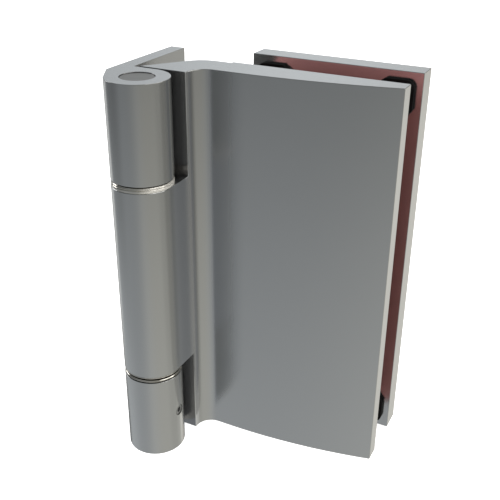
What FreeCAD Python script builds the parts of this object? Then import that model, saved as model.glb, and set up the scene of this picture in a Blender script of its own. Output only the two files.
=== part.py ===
import FreeCAD, Part
import os
import re
import Sketcher

# Clamp hinge for a glass door: a frame leaf and a door leaf on one pin.
# Every body is drawn about the pin axis, with X towards the free edge of the door, Y towards the back
# of the glass and Z up from the lower end. Its Placement then carries it to the origin of the part, which
# lies on the fixing face of the frame leaf, on the line of fixing holes and at half height.

# Driving dimensions: alias, value in millimetres or degrees, meaning.
SIZES = (
    ("hinge_height", 150, "height of both leaves and of the back plate"),
    ("knuckle_diameter", 22.4, "outside of the knuckles"),
    ("lower_knuckle_length", 34.5, "frame knuckle under the door knuckle"),
    ("upper_knuckle_length", 35, "frame knuckle over the door knuckle"),
    ("joint_gap", 2.4, "space between two knuckles, taken up by two bush flanges"),
    ("flange_play", 0.1, "axial play between the two bush flanges of a joint"),
    ("notch_gap", 1.1, "between a knuckle and the notch of the other leaf"),
    ("axis_to_face", 14.9, "pin axis to the fixing face"),
    ("frame_flange_thickness", 6, "flange of the frame leaf"),
    ("frame_flange_reach", 45, "pin axis to the end of the flange"),
    ("blend_angle", 30, "slope of the frame leaf between fixing face and knuckle"),
    ("fixing_line", 29, "pin axis to the line of fixing holes"),
    ("fixing_end_margin", 18.75, "outer fixing holes to the ends of the leaf"),
    ("fixing_hole_diameter", 6.5, "fixing holes"),
    ("fixing_sink_diameter", 12.5, "countersinks of the fixing holes"),
    ("sink_angle", 90, "countersinks and countersunk heads"),
    ("axis_to_plate", 18.2, "pin axis to the near edge of the clamp faces"),
    ("plate_width", 64.6, "width of the clamp faces and of the back plate"),
    ("axis_to_clamp", 33.2, "pin axis to the plane of the door leaf's clamp face"),
    ("leaf_thickness", 13.5, "door leaf at the crown of its bow"),
    ("bow_start", 24, "pin axis to the crown of the bow"),
    ("bow_radius", 250, "bowed front of the door leaf"),
    ("valley_radius", 6.6, "hollow between web and bowed front"),
    ("neck_gap", 1.4, "between the neck of the door leaf and the frame flange"),
    ("neck_angle", 54.4, "back of the neck against the clamp face"),
    ("neck_corner_radius", 11, "back of the neck, where it turns to the clamp face"),
    ("neck_relief", 1.4, "step from the neck's back up to the clamp face"),
    ("glass_thickness", 12, "pane that the clamp takes"),
    ("gasket_thickness", 2, "front and back gasket"),
    ("gasket_margin", 2.6, "edge of the clamp face to the gasket"),
    ("gasket_corner_radius", 3, "outer corners of the gaskets"),
    ("lobe_length", 10.2, "corner lobes of the back gasket"),
    ("lobe_ramp", 3.6, "slanting end of a lobe, along the gasket's side"),
    ("lobe_depth", 2.5, "how far the lobes stand out of the back gasket's sides"),
    ("back_plate_thickness", 9, "back plate"),
    ("edge_break", 0.25, "bevel on the outline of leaves and back plate"),
    ("pin_diameter", 12, "hinge pin"),
    ("pin_recess", 0.25, "pin ends inside the ends of the frame leaf"),
    ("pin_chamfer", 0.15, "pin ends"),
    ("pin_flat_depth", 0.5, "flat on the pin for the grub screw"),
    ("pin_flat_length", 6, "flat on the pin, along the axis"),
    ("pin_slip_fit", 0.02, "radial clearance of the pin in the frame knuckles"),
    ("pin_running_fit", 0.04, "radial clearance of the pin in the bushes"),
    ("door_bore_relief", 0.5, "radial clearance of the pin between the door bushes"),
    ("bush_diameter", 16, "outside of the bush sleeves"),
    ("bush_length", 12, "bush sleeves without their flanges"),
    ("bush_fit", 0.02, "clearance of the bush sleeves in their seats"),
    ("rim_inset", 0.1, "flange rims inside the outside of the knuckles"),
    ("rim_groove", 0.35, "groove between a knuckle and the flange rim, along the axis"),
    ("rim_groove_depth", 1, "the same groove, from the rim inwards"),
    ("grub_diameter", 4, "grub screw"),
    ("grub_to_bush", 5, "grub screw to the end of the lower frame bush"),
    ("grub_recess", 0.3, "grub screw inside the knuckle's outside"),
    ("grub_socket", 2, "across flats of the grub screw's socket"),
    ("grub_socket_depth", 1, "socket of the grub screw"),
    ("clamp_screw_diameter", 8, "clamp screws"),
    ("clamp_screw_head", 16, "heads of the clamp screws"),
    ("clamp_screw_pitch", 70, "between the two clamp screws"),
    ("clamp_screw_grip", 8.5, "clamp screws inside the door leaf"),
    ("clamp_screw_recess", 0.2, "heads below the face of the back plate"),
    ("clamp_screw_socket", 5, "across flats of the clamp screws' sockets"),
    ("clamp_screw_socket_depth", 3.5, "sockets of the clamp screws"),
    ("clamp_screw_clearance", 0.3, "radial clearance of the clamp screws in plate, gaskets and sleeves"),
    ("thread_clearance", 0.05, "clearance of screws in their threaded holes and seats"),
    ("thread_run_out", 1, "threaded hole past the end of a clamp screw"),
    ("sleeve_wall", 2.5, "wall of the glass sleeves"),
    ("sleeve_end_gap", 0.1, "glass sleeves to the gaskets"),
)

FIXING_HOLES = 4
CLAMP_SCREWS = 2

# Lengths worked out from the driving dimensions.
WORKED_OUT = {
    "knuckle_radius": "knuckle_diameter / 2",
    "notch_y": "knuckle_radius + notch_gap",
    "frame_inner_x": "frame_flange_thickness - axis_to_face",
    "blend_y": "(axis_to_face * cos(blend_angle) - knuckle_radius) / sin(blend_angle)",
    "fixing_pitch": f"(hinge_height - 2 * fixing_end_margin) / {FIXING_HOLES - 1}",
    "upper_seat_z": "hinge_height - upper_knuckle_length",
    "door_top_z": "upper_seat_z - joint_gap",
    "door_bottom_z": "lower_knuckle_length + joint_gap",
    "front_y": "axis_to_clamp - leaf_thickness",
    "free_edge_x": "axis_to_plate + plate_width",
    "bow_reach": "free_edge_x - bow_start",
    "neck_back_y": "axis_to_clamp - neck_relief",
    "neck_tip_x": "frame_inner_x + neck_gap",
    "neck_turn_x": "neck_tip_x + (neck_back_y - notch_y) / tan(neck_angle)",
    "neck_turn_length": "neck_corner_radius * tan(neck_angle / 2)",
    "neck_tip_square": "neck_tip_x ^ 2 + notch_y ^ 2",
    "neck_tangent": "sqrt(neck_tip_square - knuckle_radius ^ 2)",
    "glass_front_y": "axis_to_clamp + gasket_thickness",
    "glass_back_y": "glass_front_y + glass_thickness",
    "back_plate_y": "glass_back_y + gasket_thickness",
    "back_face_y": "back_plate_y + back_plate_thickness",
    "plate_centre_x": "axis_to_plate + plate_width / 2",
    "lower_screw_z": "(hinge_height - clamp_screw_pitch) / 2",
    "screw_head_y": "back_face_y - clamp_screw_recess",
    "screw_end_y": "axis_to_clamp - clamp_screw_grip",
    "screw_length": "screw_head_y - screw_end_y",
    "screw_hole_radius": "clamp_screw_diameter / 2 + clamp_screw_clearance",
    "head_depth": "(clamp_screw_head - clamp_screw_diameter) / 2 / tan(sink_angle / 2)",
    "gasket_half_width": "plate_width / 2 - gasket_margin",
    "gasket_half_height": "hinge_height / 2 - gasket_margin",
    "pin_radius": "pin_diameter / 2",
    "pin_length": "hinge_height - 2 * pin_recess",
    "pin_flat_x": "pin_radius - pin_flat_depth",
    "bush_bore": "pin_radius + pin_running_fit",
    "rim_radius": "knuckle_radius - rim_inset",
    "bush_flange": "(joint_gap - flange_play) / 2",
    "grub_end_x": "knuckle_radius - grub_recess",
    "lower_bush_end_z": "lower_knuckle_length - bush_length",
    "grub_height": "lower_bush_end_z - grub_to_bush",
}

FULL_TURN = 360
CLEAR_OF_PART = 1
HEXAGON_SIDES = 6
DIAGONAL_ANGLE = 45
ALIASES = {alias for alias, _, _ in SIZES}

doc = FreeCAD.newDocument("GlassDoorHinge")
sheet = doc.addObject("Spreadsheet::Sheet", "Sizes")
for row, (alias, size, meaning) in enumerate(SIZES, start=1):
    sheet.set(f"A{row}", meaning)
    sheet.set(f"B{row}", str(size))
    sheet.setAlias(f"B{row}", alias)
doc.recompute()


def expression(text):
    """Write a formula of named sizes as an expression on the sheet."""

    def spell_out(match):
        word = match.group(0)
        if word in WORKED_OUT:
            return f"({expression(WORKED_OUT[word])})"
        return f"Sizes.{word}" if word in ALIASES else word

    return re.sub(r"[a-z_]{2,}", spell_out, text)


def number(text):
    """The present value of a formula of named sizes."""
    return float(sheet.evalExpression(expression(text)))


def bind(feature, **formulas):
    """Bind the named properties of a feature to formulas of sizes."""
    for name, text in formulas.items():
        feature.setExpression(name, expression(text))


def new_body(label):
    """A body drawn about the pin axis and placed from the fixing face."""
    body = doc.addObject("PartDesign::Body", label)
    body.Label = label
    shifts = {"x": "axis_to_face", "y": "-fixing_line", "z": "-hinge_height / 2"}
    for axis, text in shifts.items():
        body.setExpression(f"Placement.Base.{axis}", expression(text))
    return body


def new_feature(body, kind, name):
    """A feature added at the end of a body."""
    doc.recompute()
    return body.newObject(kind, name)


def attach(feature, body, plane, x="0", y="0", along="0"):
    """Seat a sketch or primitive on an origin plane, shifted in the plane and along its normal."""
    support = next(item for item in body.Origin.OriginFeatures if item.Role == plane)
    feature.AttachmentSupport = [(support, "")]
    feature.MapMode = "FlatFace"
    for axis, text in zip("xyz", (x, y, along)):
        feature.setExpression(f"AttachmentOffset.Base.{axis}", expression(text))
    return feature


def new_sketch(body, name, plane, **shifts):
    """An empty sketch on an origin plane."""
    return attach(new_feature(body, "Sketcher::SketchObject", name), body, plane, **shifts)


def drive(sketch, text, kind, *places):
    """Add a dimension whose value is a formula of sizes."""
    index = sketch.addConstraint(Sketcher.Constraint(kind, *places, number(text)))
    sketch.setExpression(f"Constraints[{index}]", expression(text))


def place_point(sketch, curve, end, x, y):
    """Fix a point of a curve at two coordinates of the sketch."""
    for text, kind, axis_line in ((x, "DistanceX", -2), (y, "DistanceY", -1)):
        if text == "0":
            sketch.addConstraint(Sketcher.Constraint("PointOnObject", curve, end, axis_line))
        else:
            drive(sketch, text, kind, -1, 1, curve, end)


def point(x, y):
    """A point of a sketch from two formulas."""
    return FreeCAD.Vector(number(x), number(y), 0)


def draw_outline(sketch, corners, arcs=None):
    """Draw a closed outline through corners, each two formulas.

    arcs gives, for the number of a corner, the point that the arc leaving it passes and the arc's
    radius. Every other side is straight.
    """
    arcs = arcs or {}
    ends = []
    for index, corner in enumerate(corners):
        start = point(*corner)
        finish = point(*corners[(index + 1) % len(corners)])
        if index not in arcs:
            ends.append((sketch.addGeometry(Part.LineSegment(start, finish)), 1, 2))
            continue
        passing, _ = arcs[index]
        middle = point(*passing)
        turns_left = (middle - start).cross(finish - middle).z > 0
        arc = Part.Arc(start, middle, finish) if turns_left else Part.Arc(finish, middle, start)
        curve = sketch.addGeometry(arc)
        ends.append((curve, 1, 2) if turns_left else (curve, 2, 1))
    for index, corner in enumerate(corners):
        curve, first, _ = ends[index]
        previous, _, last = ends[index - 1]
        sketch.addConstraint(Sketcher.Constraint("Coincident", previous, last, curve, first))
        place_point(sketch, curve, first, *corner)
    for index, (_, radius) in arcs.items():
        drive(sketch, radius, "Radius", ends[index][0])


def draw_box(sketch, low_x, low_y, high_x, high_y):
    """Draw a rectangle between two corners."""
    draw_outline(sketch, [(low_x, low_y), (high_x, low_y), (high_x, high_y), (low_x, high_y)])


def draw_circle(sketch, x, y, radius):
    """Draw a circle about a point."""
    circle = Part.Circle(point(x, y), FreeCAD.Vector(0, 0, 1), number(radius))
    curve = sketch.addGeometry(circle)
    place_point(sketch, curve, 3, x, y)
    drive(sketch, radius, "Radius", curve)


def pad(body, sketch, length, reverse=False):
    """Extrude a sketch along the normal of its plane, or against it."""
    feature = new_feature(body, "PartDesign::Pad", f"{sketch.Name}_pad")
    feature.Profile = sketch
    feature.Reversed = reverse
    bind(feature, Length=length)
    return feature


def cut_through(body, sketch):
    """Cut a sketch through the whole body, on both sides of its plane."""
    feature = new_feature(body, "PartDesign::Pocket", f"{sketch.Name}_cut")
    feature.Profile = sketch
    feature.Type = "ThroughAll"
    feature.Midplane = True
    return feature


def revolve(body, sketch):
    """Turn a sketch about its vertical axis."""
    feature = new_feature(body, "PartDesign::Revolution", f"{sketch.Name}_turned")
    feature.Profile = sketch
    feature.ReferenceAxis = (sketch, ["V_Axis"])
    feature.Angle = FULL_TURN
    return feature


def drill(body, name, radius, height, plane, **shifts):
    """Cut a cylinder that starts on a plane and runs along its normal."""
    feature = new_feature(body, "PartDesign::SubtractiveCylinder", name)
    attach(feature, body, plane, **shifts)
    bind(feature, Radius=radius, Height=height)
    return feature


def cut_hexagon(body, name, across_flats, height, plane, **shifts):
    """Cut a hexagon socket that starts on a plane and runs along its normal."""
    feature = new_feature(body, "PartDesign::SubtractivePrism", name)
    attach(feature, body, plane, **shifts)
    feature.Polygon = HEXAGON_SIDES
    bind(feature, Circumradius=f"{across_flats} / sqrt(3)", Height=height)
    return feature


def countersink(body, sketch, diameter, sink_diameter, reverse=False):
    """Countersunk through holes at the circles of a sketch."""
    feature = new_feature(body, "PartDesign::Hole", f"{sketch.Name}_sunk")
    feature.Profile = sketch
    feature.Reversed = reverse
    feature.ThreadType = "None"
    feature.DepthType = "ThroughAll"
    feature.HoleCutType = "Countersink"
    feature.HoleCutCustomValues = True
    bind(
        feature,
        Diameter=diameter,
        HoleCutDiameter=sink_diameter,
        HoleCutCountersinkAngle="sink_angle",
    )
    return feature


def bevel_ends(body, feature, low, high, axis):
    """Bevel every edge of a padded feature that lies in one of its two end planes."""
    doc.recompute()
    ends = (number(low), number(high))
    edges = []
    for index, edge in enumerate(feature.Shape.Edges, start=1):
        levels = [getattr(vertex.Point, axis) for vertex in edge.Vertexes]
        if any(all(abs(level - end) < Part.Precision.confusion() for level in levels) for end in ends):
            edges.append(f"Edge{index}")
    bevel = new_feature(body, "PartDesign::Chamfer", f"{feature.Name}_bevel")
    bevel.Base = (feature, edges)
    bind(bevel, Size="edge_break")
    return bevel


def make_frame_leaf():
    """Flange with an upper and a lower knuckle, one extrusion with the middle notched away."""
    body = new_body("frame_leaf")
    profile = new_sketch(body, "frame_profile", "XY_Plane")
    corners = [
        ("-axis_to_face", "blend_y"),
        ("-axis_to_face", "frame_flange_reach"),
        ("frame_inner_x", "frame_flange_reach"),
        ("frame_inner_x", "knuckle_radius"),
        ("0", "knuckle_radius"),
        ("-knuckle_radius * cos(blend_angle)", "-knuckle_radius * sin(blend_angle)"),
    ]
    draw_outline(profile, corners, {4: (("knuckle_radius", "0"), "knuckle_radius")})
    extrusion = pad(body, profile, "hinge_height")
    bevel_ends(body, extrusion, "0", "hinge_height", "z")

    notch = new_sketch(body, "frame_notch", "YZ_Plane")
    clear_y = f"-knuckle_radius - {CLEAR_OF_PART}"
    draw_box(notch, clear_y, "lower_knuckle_length", "notch_y", "upper_seat_z")
    cut_through(body, notch)

    drill(body, "pin_bore", "pin_radius + pin_slip_fit", "hinge_height", "XY_Plane")
    seat = "bush_diameter / 2 + bush_fit"
    drill(body, "upper_bush_seat", seat, "bush_length", "XY_Plane", along="upper_seat_z")
    drill(body, "lower_bush_seat", seat, "bush_length", "XY_Plane", along="lower_bush_end_z")
    hole = "grub_diameter / 2 + thread_clearance"
    drill(body, "grub_hole", hole, "knuckle_diameter", "YZ_Plane", y="grub_height")

    fixing = new_sketch(body, "fixing_holes", "YZ_Plane", along="frame_inner_x")
    for index in range(FIXING_HOLES):
        hole_z = f"fixing_end_margin + {index} * fixing_pitch"
        draw_circle(fixing, "fixing_line", hole_z, "fixing_hole_diameter / 2")
    countersink(body, fixing, "fixing_hole_diameter", "fixing_sink_diameter")
    return body


def make_door_leaf():
    """Middle knuckle, web, valley and bowed clamp plate, one extrusion with both ends notched."""
    body = new_body("door_leaf")
    profile = new_sketch(body, "door_profile", "XY_Plane")
    bow_drop = "bow_radius - sqrt(bow_radius ^ 2 - {0} ^ 2)".format
    corners = [
        ("knuckle_radius", "0"),
        ("knuckle_radius", "front_y - valley_radius"),
        ("knuckle_radius + valley_radius", "front_y"),
        ("bow_start", "front_y"),
        ("free_edge_x", f"front_y + {bow_drop('bow_reach')}"),
        ("free_edge_x", "axis_to_clamp"),
        ("axis_to_plate", "axis_to_clamp"),
        ("axis_to_plate", "neck_back_y"),
        ("neck_turn_x + neck_turn_length", "neck_back_y"),
        (
            "neck_turn_x - neck_turn_length * cos(neck_angle)",
            "neck_back_y - neck_turn_length * sin(neck_angle)",
        ),
        ("neck_tip_x", "notch_y"),
        (
            "knuckle_radius * (knuckle_radius * neck_tip_x - neck_tangent * notch_y) / neck_tip_square",
            "knuckle_radius * (knuckle_radius * notch_y + neck_tangent * neck_tip_x) / neck_tip_square",
        ),
    ]
    valley_middle = (
        f"knuckle_radius + valley_radius * (1 - cos({DIAGONAL_ANGLE}))",
        f"front_y - valley_radius * (1 - sin({DIAGONAL_ANGLE}))",
    )
    bow_middle = ("bow_start + bow_reach / 2", f"front_y + {bow_drop('(bow_reach / 2)')}")
    neck_middle = (
        "neck_turn_x + neck_turn_length - neck_corner_radius * sin(neck_angle / 2)",
        "neck_back_y - neck_corner_radius * (1 - cos(neck_angle / 2))",
    )
    arcs = {
        1: (valley_middle, "valley_radius"),
        3: (bow_middle, "bow_radius"),
        8: (neck_middle, "neck_corner_radius"),
        11: (("0", "-knuckle_radius"), "knuckle_radius"),
    }
    draw_outline(profile, corners, arcs)
    extrusion = pad(body, profile, "hinge_height")
    bevel_ends(body, extrusion, "0", "hinge_height", "z")

    notches = new_sketch(body, "door_notches", "YZ_Plane")
    clear_y = f"-knuckle_radius - {CLEAR_OF_PART}"
    draw_box(notches, clear_y, f"-{CLEAR_OF_PART}", "notch_y", "door_bottom_z")
    draw_box(notches, clear_y, "door_top_z", "notch_y", f"hinge_height + {CLEAR_OF_PART}")
    cut_through(body, notches)

    drill(body, "door_bore", "pin_radius + door_bore_relief", "hinge_height", "XY_Plane")
    seat = "bush_diameter / 2 + bush_fit"
    drill(body, "door_upper_seat", seat, "bush_length", "XY_Plane", along="door_top_z - bush_length")
    drill(body, "door_lower_seat", seat, "bush_length", "XY_Plane", along="door_bottom_z")
    for name, rise in (("lower_thread", "0"), ("upper_thread", "clamp_screw_pitch")):
        drill(
            body,
            name,
            "clamp_screw_diameter / 2 + thread_clearance",
            "clamp_screw_grip + thread_run_out",
            "XZ_Plane",
            x="plate_centre_x",
            y=f"lower_screw_z + {rise}",
            along="-axis_to_clamp",
        )
    return body


def make_back_plate():
    """Flat clamp plate behind the glass, countersunk for the clamp screws."""
    body = new_body("back_plate")
    outline = new_sketch(body, "plate_outline", "XZ_Plane", along="-back_plate_y")
    draw_box(outline, "axis_to_plate", "0", "free_edge_x", "hinge_height")
    slab = pad(body, outline, "back_plate_thickness", reverse=True)
    bevel_ends(body, slab, "back_plate_y", "back_face_y", "y")
    holes = new_sketch(body, "plate_holes", "XZ_Plane", along="-back_face_y")
    for rise in ("0", "clamp_screw_pitch"):
        draw_circle(holes, "plate_centre_x", f"lower_screw_z + {rise}", "screw_hole_radius")
    sink = "clamp_screw_head + 2 * (clamp_screw_recess + thread_clearance) * tan(sink_angle / 2)"
    countersink(body, holes, "2 * screw_hole_radius", sink, reverse=True)
    return body


def make_hinge_pin():
    """Plain pin with chamfered ends and a flat that the grub screw bears on."""
    body = new_body("hinge_pin")
    profile = new_sketch(body, "pin_profile", "XZ_Plane", y="pin_recess")
    corners = [
        ("0", "0"),
        ("pin_radius - pin_chamfer", "0"),
        ("pin_radius", "pin_chamfer"),
        ("pin_radius", "pin_length - pin_chamfer"),
        ("pin_radius - pin_chamfer", "pin_length"),
        ("0", "pin_length"),
    ]
    draw_outline(profile, corners)
    revolve(body, profile)
    flat = new_sketch(body, "pin_flat", "XZ_Plane")
    draw_box(
        flat,
        "pin_flat_x",
        "grub_height - pin_flat_length / 2",
        f"pin_radius + {CLEAR_OF_PART}",
        "grub_height + pin_flat_length / 2",
    )
    cut_through(body, flat)
    return body


def make_grub_screw():
    """Socket set screw that holds the pin in the lower knuckle."""
    body = new_body("pin_grub_screw")
    section = new_sketch(body, "grub_section", "YZ_Plane", along="pin_flat_x")
    draw_circle(section, "0", "grub_height", "grub_diameter / 2")
    pad(body, section, "grub_end_x - pin_flat_x")
    cut_hexagon(
        body,
        "grub_hexagon",
        "grub_socket",
        "grub_socket_depth",
        "YZ_Plane",
        y="grub_height",
        along="grub_end_x - grub_socket_depth",
    )
    return body


def make_bush(label, seat_z, flange_way):
    """Flanged bush with a groove under its rim, its flange above the seat (+1) or below it (-1)."""
    body = new_body(label)
    profile = new_sketch(body, f"{label}_profile", "XZ_Plane", y=seat_z)
    flange_end = f"{flange_way} * bush_flange"
    sleeve_end = f"{-flange_way} * bush_length"
    corners = [
        ("bush_bore", sleeve_end),
        ("bush_diameter / 2", sleeve_end),
        ("bush_diameter / 2", "0"),
        ("rim_radius - rim_groove_depth", "0"),
        ("rim_radius - rim_groove_depth", f"{flange_way} * rim_groove"),
        ("rim_radius", f"{flange_way} * rim_groove"),
        ("rim_radius", flange_end),
        ("bush_bore", flange_end),
    ]
    draw_outline(profile, corners)
    revolve(body, profile)
    return body


def pierce_for_screws(body, name):
    """Holes for the two clamp screws through a gasket."""
    holes = new_sketch(body, name, "XZ_Plane")
    for rise in ("0", "clamp_screw_pitch"):
        draw_circle(holes, "plate_centre_x", f"lower_screw_z + {rise}", "screw_hole_radius")
    cut_through(body, holes)


def round_corners(body, slab):
    """Round the four outermost upright corners of a gasket."""
    doc.recompute()
    box = slab.Shape.BoundBox
    edges = []
    for index, edge in enumerate(slab.Shape.Edges, start=1):
        middle = edge.CenterOfMass
        on_side = min(abs(middle.x - box.XMin), abs(middle.x - box.XMax)) < Part.Precision.confusion()
        on_end = min(abs(middle.z - box.ZMin), abs(middle.z - box.ZMax)) < Part.Precision.confusion()
        if on_side and on_end:
            edges.append(f"Edge{index}")
    rounding = new_feature(body, "PartDesign::Fillet", f"{slab.Name}_round")
    rounding.Base = (slab, edges)
    bind(rounding, Radius="gasket_corner_radius")


def make_front_gasket():
    """Plain fibre gasket on the clamp face of the door leaf."""
    body = new_body("front_gasket")
    outline = new_sketch(
        body,
        "front_gasket_outline",
        "XZ_Plane",
        x="plate_centre_x",
        y="hinge_height / 2",
        along="-axis_to_clamp",
    )
    draw_box(outline, "-gasket_half_width", "-gasket_half_height", "gasket_half_width", "gasket_half_height")
    slab = pad(body, outline, "gasket_thickness", reverse=True)
    round_corners(body, slab)
    pierce_for_screws(body, "front_gasket_holes")
    return body


def make_back_gasket():
    """Rubber gasket on the back plate, with a lobe at each corner and its sides drawn in between."""
    body = new_body("back_gasket")
    outline = new_sketch(
        body,
        "back_gasket_outline",
        "XZ_Plane",
        x="plate_centre_x",
        y="hinge_height / 2",
        along="-glass_back_y",
    )
    quarter = [
        ("gasket_half_width - lobe_depth", "gasket_half_height - lobe_length - lobe_ramp"),
        ("gasket_half_width", "gasket_half_height - lobe_length"),
        ("gasket_half_width", "gasket_half_height"),
        ("gasket_half_width - lobe_length", "gasket_half_height"),
        ("gasket_half_width - lobe_length - lobe_ramp", "gasket_half_height - lobe_depth"),
    ]
    corners = []
    for side_x, side_y in ((1, 1), (-1, 1), (-1, -1), (1, -1)):
        turned = [(f"{side_x} * ({x})", f"{side_y} * ({y})") for x, y in quarter]
        corners += turned if side_x == side_y else turned[::-1]
    draw_outline(outline, corners)
    slab = pad(body, outline, "gasket_thickness", reverse=True)
    round_corners(body, slab)
    pierce_for_screws(body, "back_gasket_holes")
    return body


def make_glass_sleeve(label, rise):
    """Plastic tube round a clamp screw, inside the hole of the glass."""
    body = new_body(label)
    section = new_sketch(body, f"{label}_section", "XZ_Plane", along="-glass_front_y - sleeve_end_gap")
    for radius in ("screw_hole_radius", "screw_hole_radius + sleeve_wall"):
        draw_circle(section, "plate_centre_x", f"lower_screw_z + {rise}", radius)
    pad(body, section, "glass_thickness - 2 * sleeve_end_gap", reverse=True)
    return body


def make_clamp_screws():
    """Two countersunk socket screws from the back plate into the door leaf."""
    body = new_body("clamp_screws")
    profile = new_sketch(
        body, "screw_profile", "XY_Plane", x="plate_centre_x", y="screw_end_y", along="lower_screw_z"
    )
    corners = [
        ("0", "0"),
        ("clamp_screw_diameter / 2", "0"),
        ("clamp_screw_diameter / 2", "screw_length - head_depth"),
        ("clamp_screw_head / 2", "screw_length"),
        ("0", "screw_length"),
    ]
    draw_outline(profile, corners)
    turned = revolve(body, profile)
    socket = cut_hexagon(
        body,
        "screw_hexagon",
        "clamp_screw_socket",
        "clamp_screw_socket_depth",
        "XZ_Plane",
        x="plate_centre_x",
        y="lower_screw_z",
        along="-screw_head_y",
    )
    pair = new_feature(body, "PartDesign::LinearPattern", "screw_pair")
    pair.Originals = [turned, socket]
    upward = next(item for item in body.Origin.OriginFeatures if item.Role == "Z_Axis")
    pair.Direction = (upward, [""])
    pair.Occurrences = CLAMP_SCREWS
    bind(pair, Length="clamp_screw_pitch")
    body.Tip = pair
    return body


def check(bodies):
    """Stop unless every feature was computed and every sub-part is a sound solid."""
    doc.recompute()
    for item in doc.Objects:
        if "Invalid" in item.State or "Error" in item.State:
            raise RuntimeError(f"{item.Label} failed: {item.State}")
    for body in bodies:
        if body.Shape.isNull() or not body.Shape.isValid() or not body.Shape.Solids:
            raise RuntimeError(f"{body.Label} is no sound solid")


def write(bodies):
    """Write the shape of each sub-part to a file of its own."""
    os.makedirs("parts", exist_ok=True)
    for body in bodies:
        body.Shape.exportStep(f"parts/{body.Label}.step")


hinge = [
    make_frame_leaf(),
    make_door_leaf(),
    make_back_plate(),
    make_hinge_pin(),
    make_grub_screw(),
    make_bush("upper_frame_bush", "upper_seat_z", -1),
    make_bush("upper_door_bush", "door_top_z", 1),
    make_bush("lower_door_bush", "door_bottom_z", -1),
    make_bush("lower_frame_bush", "lower_knuckle_length", 1),
    make_front_gasket(),
    make_back_gasket(),
    make_glass_sleeve("upper_glass_sleeve", "clamp_screw_pitch"),
    make_glass_sleeve("lower_glass_sleeve", "0"),
    make_clamp_screws(),
]
check(hinge)
write(hinge)
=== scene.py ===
"""Looks of a clamp hinge for a glass door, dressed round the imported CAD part."""

import logging
import math
from collections.abc import Callable, Mapping, Sequence
from dataclasses import dataclass, field
from enum import Enum, IntEnum
from typing import Any

import bmesh
import bpy
import numpy as np
from mathutils import Matrix, Vector, geometry


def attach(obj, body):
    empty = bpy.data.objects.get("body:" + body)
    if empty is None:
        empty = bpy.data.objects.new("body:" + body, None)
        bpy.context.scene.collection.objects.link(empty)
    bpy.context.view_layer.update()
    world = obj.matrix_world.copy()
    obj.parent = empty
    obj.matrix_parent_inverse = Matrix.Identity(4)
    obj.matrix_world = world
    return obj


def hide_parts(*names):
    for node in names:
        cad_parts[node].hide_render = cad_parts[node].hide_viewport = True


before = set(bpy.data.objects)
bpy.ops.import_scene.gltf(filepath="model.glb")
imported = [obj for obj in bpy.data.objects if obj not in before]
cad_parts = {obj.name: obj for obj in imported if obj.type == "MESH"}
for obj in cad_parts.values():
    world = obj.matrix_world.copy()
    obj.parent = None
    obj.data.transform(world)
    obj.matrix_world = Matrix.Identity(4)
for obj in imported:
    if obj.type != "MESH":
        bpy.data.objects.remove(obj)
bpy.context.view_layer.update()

LOG = logging.getLogger("hinge")
Array = np.ndarray
Colour = tuple[float, float, float]
Triple = tuple[float, float, float]
Pair = tuple[float, float]
Span = tuple[float, float]
"""Two places between which a mask goes smoothly from 0 to 1."""
Band = tuple[Span, Span]
"""Two spans: a mask comes in over the first and goes out over the second."""

MILLIMETRE = 0.001
AXIS_IN_PART = np.array((14.9, -29.0, -75.0))
"""Lower end of the pin axis in the part, in millimetres; shapes and masks are laid out from there."""

SMOOTH_UP_TO = math.radians(30)
FLAT_UP_TO = math.radians(0.05)
MERGE_WITHIN = 1e-7
FILL_WITHIN = 1e-6
FILL_INSIDE_EDGES = 1
ANGLE_GAP = 1e-4
BEVEL_STEPS = 3
NO_ANGLES = np.empty(0)
MIX_COLOURS = (6, 7)
MIX_RESULT = 2
NOISE_MIDDLE = 0.5
WHITE = (1.0, 1.0, 1.0)
BLACK = (0.0, 0.0, 0.0)


class Axis(IntEnum):
    """A coordinate's place in a point."""

    X = 0
    Y = 1
    Z = 2


class Lay(Enum):
    """Direction that the fine lines of a metal finish run in."""

    ALONG_PIN = "along the pin"
    ROUND_PIN = "round the pin"


def math_operator(operation: str, swapped: bool = False) -> Callable[["Value", Any], "Value"]:
    """Make an operator for values.

    Args:
        operation: what the Math node works out.
        swapped: whether the other operand comes first, as in a reflected form.

    Returns:
        A method that adds the node and gives its result.
    """

    def method(self: "Value", other: Any) -> "Value":
        """Add a Math node on this value and another value or number."""
        pair = (other, self) if swapped else (self, other)
        return self.graph.node("ShaderNodeMath", {"operation": operation}, dict(enumerate(pair)))

    return method


class Value:
    """A number that changes over a surface, used in sums that add Math nodes to its graph."""

    __add__ = __radd__ = math_operator("ADD")
    __mul__ = __rmul__ = math_operator("MULTIPLY")
    __sub__ = math_operator("SUBTRACT")
    __rsub__ = math_operator("SUBTRACT", swapped=True)
    __truediv__ = math_operator("DIVIDE")
    __pow__ = math_operator("POWER")

    def __init__(self, graph: "Graph", socket: bpy.types.NodeSocket) -> None:
        """Wrap an output socket of a graph."""
        self.graph = graph
        self.socket = socket

    def __neg__(self) -> "Value":
        """This with its sign turned."""
        return self * -1.0

    def __abs__(self) -> "Value":
        """This without its sign."""
        return self.graph.node("ShaderNodeMath", {"operation": "ABSOLUTE"}, {0: self})


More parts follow.
